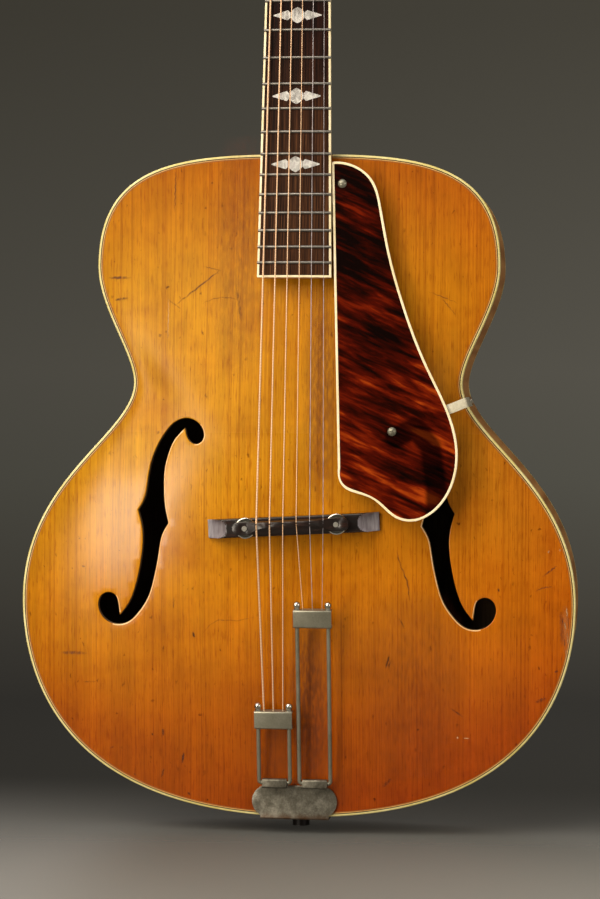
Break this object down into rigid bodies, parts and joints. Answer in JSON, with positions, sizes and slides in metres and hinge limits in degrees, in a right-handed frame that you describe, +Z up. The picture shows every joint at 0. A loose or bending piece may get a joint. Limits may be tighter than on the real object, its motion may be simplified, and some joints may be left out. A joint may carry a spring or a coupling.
{
  "type": "archtop guitar",
  "caption": "Acoustic archtop guitar with carved f-hole top, arched back, adjustable bridge, split trapeze tailpiece, raised pickguard and geared tuners.",
  "frame": {"origin": "middle of the end pin's head, on the guitar's centreline below the tail edge", "axes": "+Z up the neck, front faces -Y, treble side +X"},
  "size_m": [0.437, 0.1443, 1.0697],
  "materials": {
    "carved_spruce": "amber gloss lacquer over straight-grained spruce",
    "flamed_maple": "brown lacquer over figured maple",
    "inner_wood": "bare wood",
    "cream_binding": "aged cream celluloid",
    "black_purfling": "black",
    "rosewood": "oiled dark rosewood",
    "nickel_silver": "worn fret wire",
    "pearl": "mother of pearl",
    "bone": "polished bone",
    "tortoise_sheet": "mottled tortoise celluloid",
    "nickel_plate": "aged nickel plate",
    "screw_steel": "steel",
    "string_wire": "wound and plain strings"
  },
  "bodies": {
    "guitar": {"top_plate": "carved_spruce", "back_plate": "flamed_maple", "bass_rib": "flamed_maple", "treble_rib": "flamed_maple", "neck": "flamed_maple", "top_lining": "inner_wood", "back_lining": "inner_wood", "neck_block": "inner_wood", "tail_block": "inner_wood", "tone_bars": "inner_wood", "pickguard_spacer": "inner_wood", "top_binding": "cream_binding", "back_binding": "cream_binding", "fingerboard_binding": "cream_binding", "pickguard_binding": "cream_binding", "top_purfling": "black_purfling", "headstock_veneer": "black_purfling", "end_pin": "black_purfling", "fingerboard": "rosewood", "bridge_base": "rosewood", "frets": "nickel_silver", "position_inlays": "pearl", "nut": "bone", "pickguard": "tortoise_sheet", "pickguard_bracket": "nickel_plate", "tailpiece_bracket": "nickel_plate", "bridge_posts": "nickel_plate", "tuner_plates": "nickel_plate", "tuner_bushings": "nickel_plate", "pickguard_screws": "screw_steel", "pickguard_bracket_screw": "screw_steel", "tailpiece_screws": "screw_steel", "tuner_screws": "screw_steel", "truss_rod": "screw_steel", "head_strings": "string_wire"},
    "saddle": {"bridge_saddle": "rosewood"},
    "bass_wheel": {"bass_thumbwheel": "nickel_plate"},
    "treble_wheel": {"treble_thumbwheel": "nickel_plate"},
    "bass_frame": {"bass_trapeze": "nickel_plate", "bass_string_holder": "nickel_plate", "bass_trapeze_nuts": "nickel_plate", "bass_after_strings": "string_wire"},
    "treble_frame": {"treble_trapeze": "nickel_plate", "treble_string_holder": "nickel_plate", "treble_trapeze_nuts": "nickel_plate", "treble_after_strings": "string_wire"},
    "string_span": {"speaking_strings": "string_wire"},
    "post_1": {"tuner_post_1": "nickel_plate"},
    "button_1": {"tuner_button_1": "nickel_plate"},
    "post_2": {"tuner_post_2": "nickel_plate"},
    "button_2": {"tuner_button_2": "nickel_plate"},
    "post_3": {"tuner_post_3": "nickel_plate"},
    "button_3": {"tuner_button_3": "nickel_plate"},
    "post_4": {"tuner_post_4": "nickel_plate"},
    "button_4": {"tuner_button_4": "nickel_plate"},
    "post_5": {"tuner_post_5": "nickel_plate"},
    "button_5": {"tuner_button_5": "nickel_plate"},
    "post_6": {"tuner_post_6": "nickel_plate"},
    "button_6": {"tuner_button_6": "nickel_plate"}
  },
  "joints": [
    {"name": "bass_wheel_turn", "type": "hinge", "parent": "saddle", "child": "bass_wheel", "pos_m": [-0.03544, -0.07535, 0.23912], "axis": [0, -1, 0], "range_deg": [-670, 1340]},
    {"name": "treble_wheel_turn", "type": "hinge", "parent": "saddle", "child": "treble_wheel", "pos_m": [0.03544, -0.07535, 0.24308], "axis": [0, -1, 0], "range_deg": [-675, 1345]},
    {"name": "saddle_slide", "type": "slide", "parent": "guitar", "child": "saddle", "axis": [0, -1, 0], "range_m": [-0.0015, 0.003]},
    {"name": "bass_frame_swing", "type": "hinge", "parent": "guitar", "child": "bass_frame", "pos_m": [-0.0149, -0.05085, 0.0385], "axis": [1, 0, 0], "range_deg": [-0.45, 0.9]},
    {"name": "treble_frame_swing", "type": "hinge", "parent": "guitar", "child": "treble_frame", "pos_m": [0.0169, -0.05085, 0.0385], "axis": [1, 0, 0], "range_deg": [-0.45, 0.9]},
    {"name": "string_span_swing", "type": "hinge", "parent": "guitar", "child": "string_span", "pos_m": [0, -0.03567, 0.88725], "axis": [-1, 0, 0], "range_deg": [-0.15, 0.3]},
    {"name": "button_1_turn", "type": "hinge", "parent": "guitar", "child": "button_1", "pos_m": [-0.02071, 0.00114, 0.92157], "axis": [-1, 0, 0], "continuous": true},
    {"name": "post_1_turn", "type": "hinge", "parent": "guitar", "child": "post_1", "pos_m": [-0.02071, -0.00123, 0.93041], "axis": [0, -0.9504, 0.311], "continuous": true},
    {"name": "button_2_turn", "type": "hinge", "parent": "guitar", "child": "button_2", "pos_m": [-0.0242, 0.01451, 0.96244], "axis": [-1, 0, 0], "continuous": true},
    {"name": "post_2_turn", "type": "hinge", "parent": "guitar", "child": "post_2", "pos_m": [-0.0242, 0.01215, 0.97128], "axis": [0, -0.9504, 0.311], "continuous": true},
    {"name": "button_3_turn", "type": "hinge", "parent": "guitar", "child": "button_3", "pos_m": [-0.02769, 0.02789, 1.00331], "axis": [-1, 0, 0], "continuous": true},
    {"name": "post_3_turn", "type": "hinge", "parent": "guitar", "child": "post_3", "pos_m": [-0.02769, 0.02552, 1.01214], "axis": [0, -0.9504, 0.311], "continuous": true},
    {"name": "button_4_turn", "type": "hinge", "parent": "guitar", "child": "button_4", "pos_m": [0.02769, 0.02789, 1.00331], "axis": [1, 0, 0], "continuous": true},
    {"name": "post_4_turn", "type": "hinge", "parent": "guitar", "child": "post_4", "pos_m": [0.02769, 0.02552, 1.01214], "axis": [0, -0.9504, 0.311], "continuous": true},
    {"name": "button_5_turn", "type": "hinge", "parent": "guitar", "child": "button_5", "pos_m": [0.0242, 0.01451, 0.96244], "axis": [1, 0, 0], "continuous": true},
    {"name": "post_5_turn", "type": "hinge", "parent": "guitar", "child": "post_5", "pos_m": [0.0242, 0.01215, 0.97128], "axis": [0, -0.9504, 0.311], "continuous": true},
    {"name": "button_6_turn", "type": "hinge", "parent": "guitar", "child": "button_6", "pos_m": [0.02071, 0.00114, 0.92157], "axis": [1, 0, 0], "continuous": true},
    {"name": "post_6_turn", "type": "hinge", "parent": "guitar", "child": "post_6", "pos_m": [0.02071, -0.00123, 0.93041], "axis": [0, -0.9504, 0.311], "continuous": true}
  ],
  "couplings": [
    {"joint": "treble_wheel_turn", "follows": "bass_wheel_turn", "ratio": 1},
    {"joint": "saddle_slide", "follows": "bass_wheel_turn", "m_per_rad": 0.00012732},
    {"joint": "bass_frame_swing", "follows": "bass_wheel_turn", "ratio": 0.00062109},
    {"joint": "treble_frame_swing", "follows": "bass_wheel_turn", "ratio": 0.00062109},
    {"joint": "string_span_swing", "follows": "bass_wheel_turn", "ratio": 0.00019783},
    {"joint": "post_1_turn", "follows": "button_1_turn", "ratio": -0.071429},
    {"joint": "post_2_turn", "follows": "button_2_turn", "ratio": -0.071429},
    {"joint": "post_3_turn", "follows": "button_3_turn", "ratio": -0.071429},
    {"joint": "post_4_turn", "follows": "button_4_turn", "ratio": -0.071429},
    {"joint": "post_5_turn", "follows": "button_5_turn", "ratio": -0.071429},
    {"joint": "post_6_turn", "follows": "button_6_turn", "ratio": -0.071429}
  ]
}
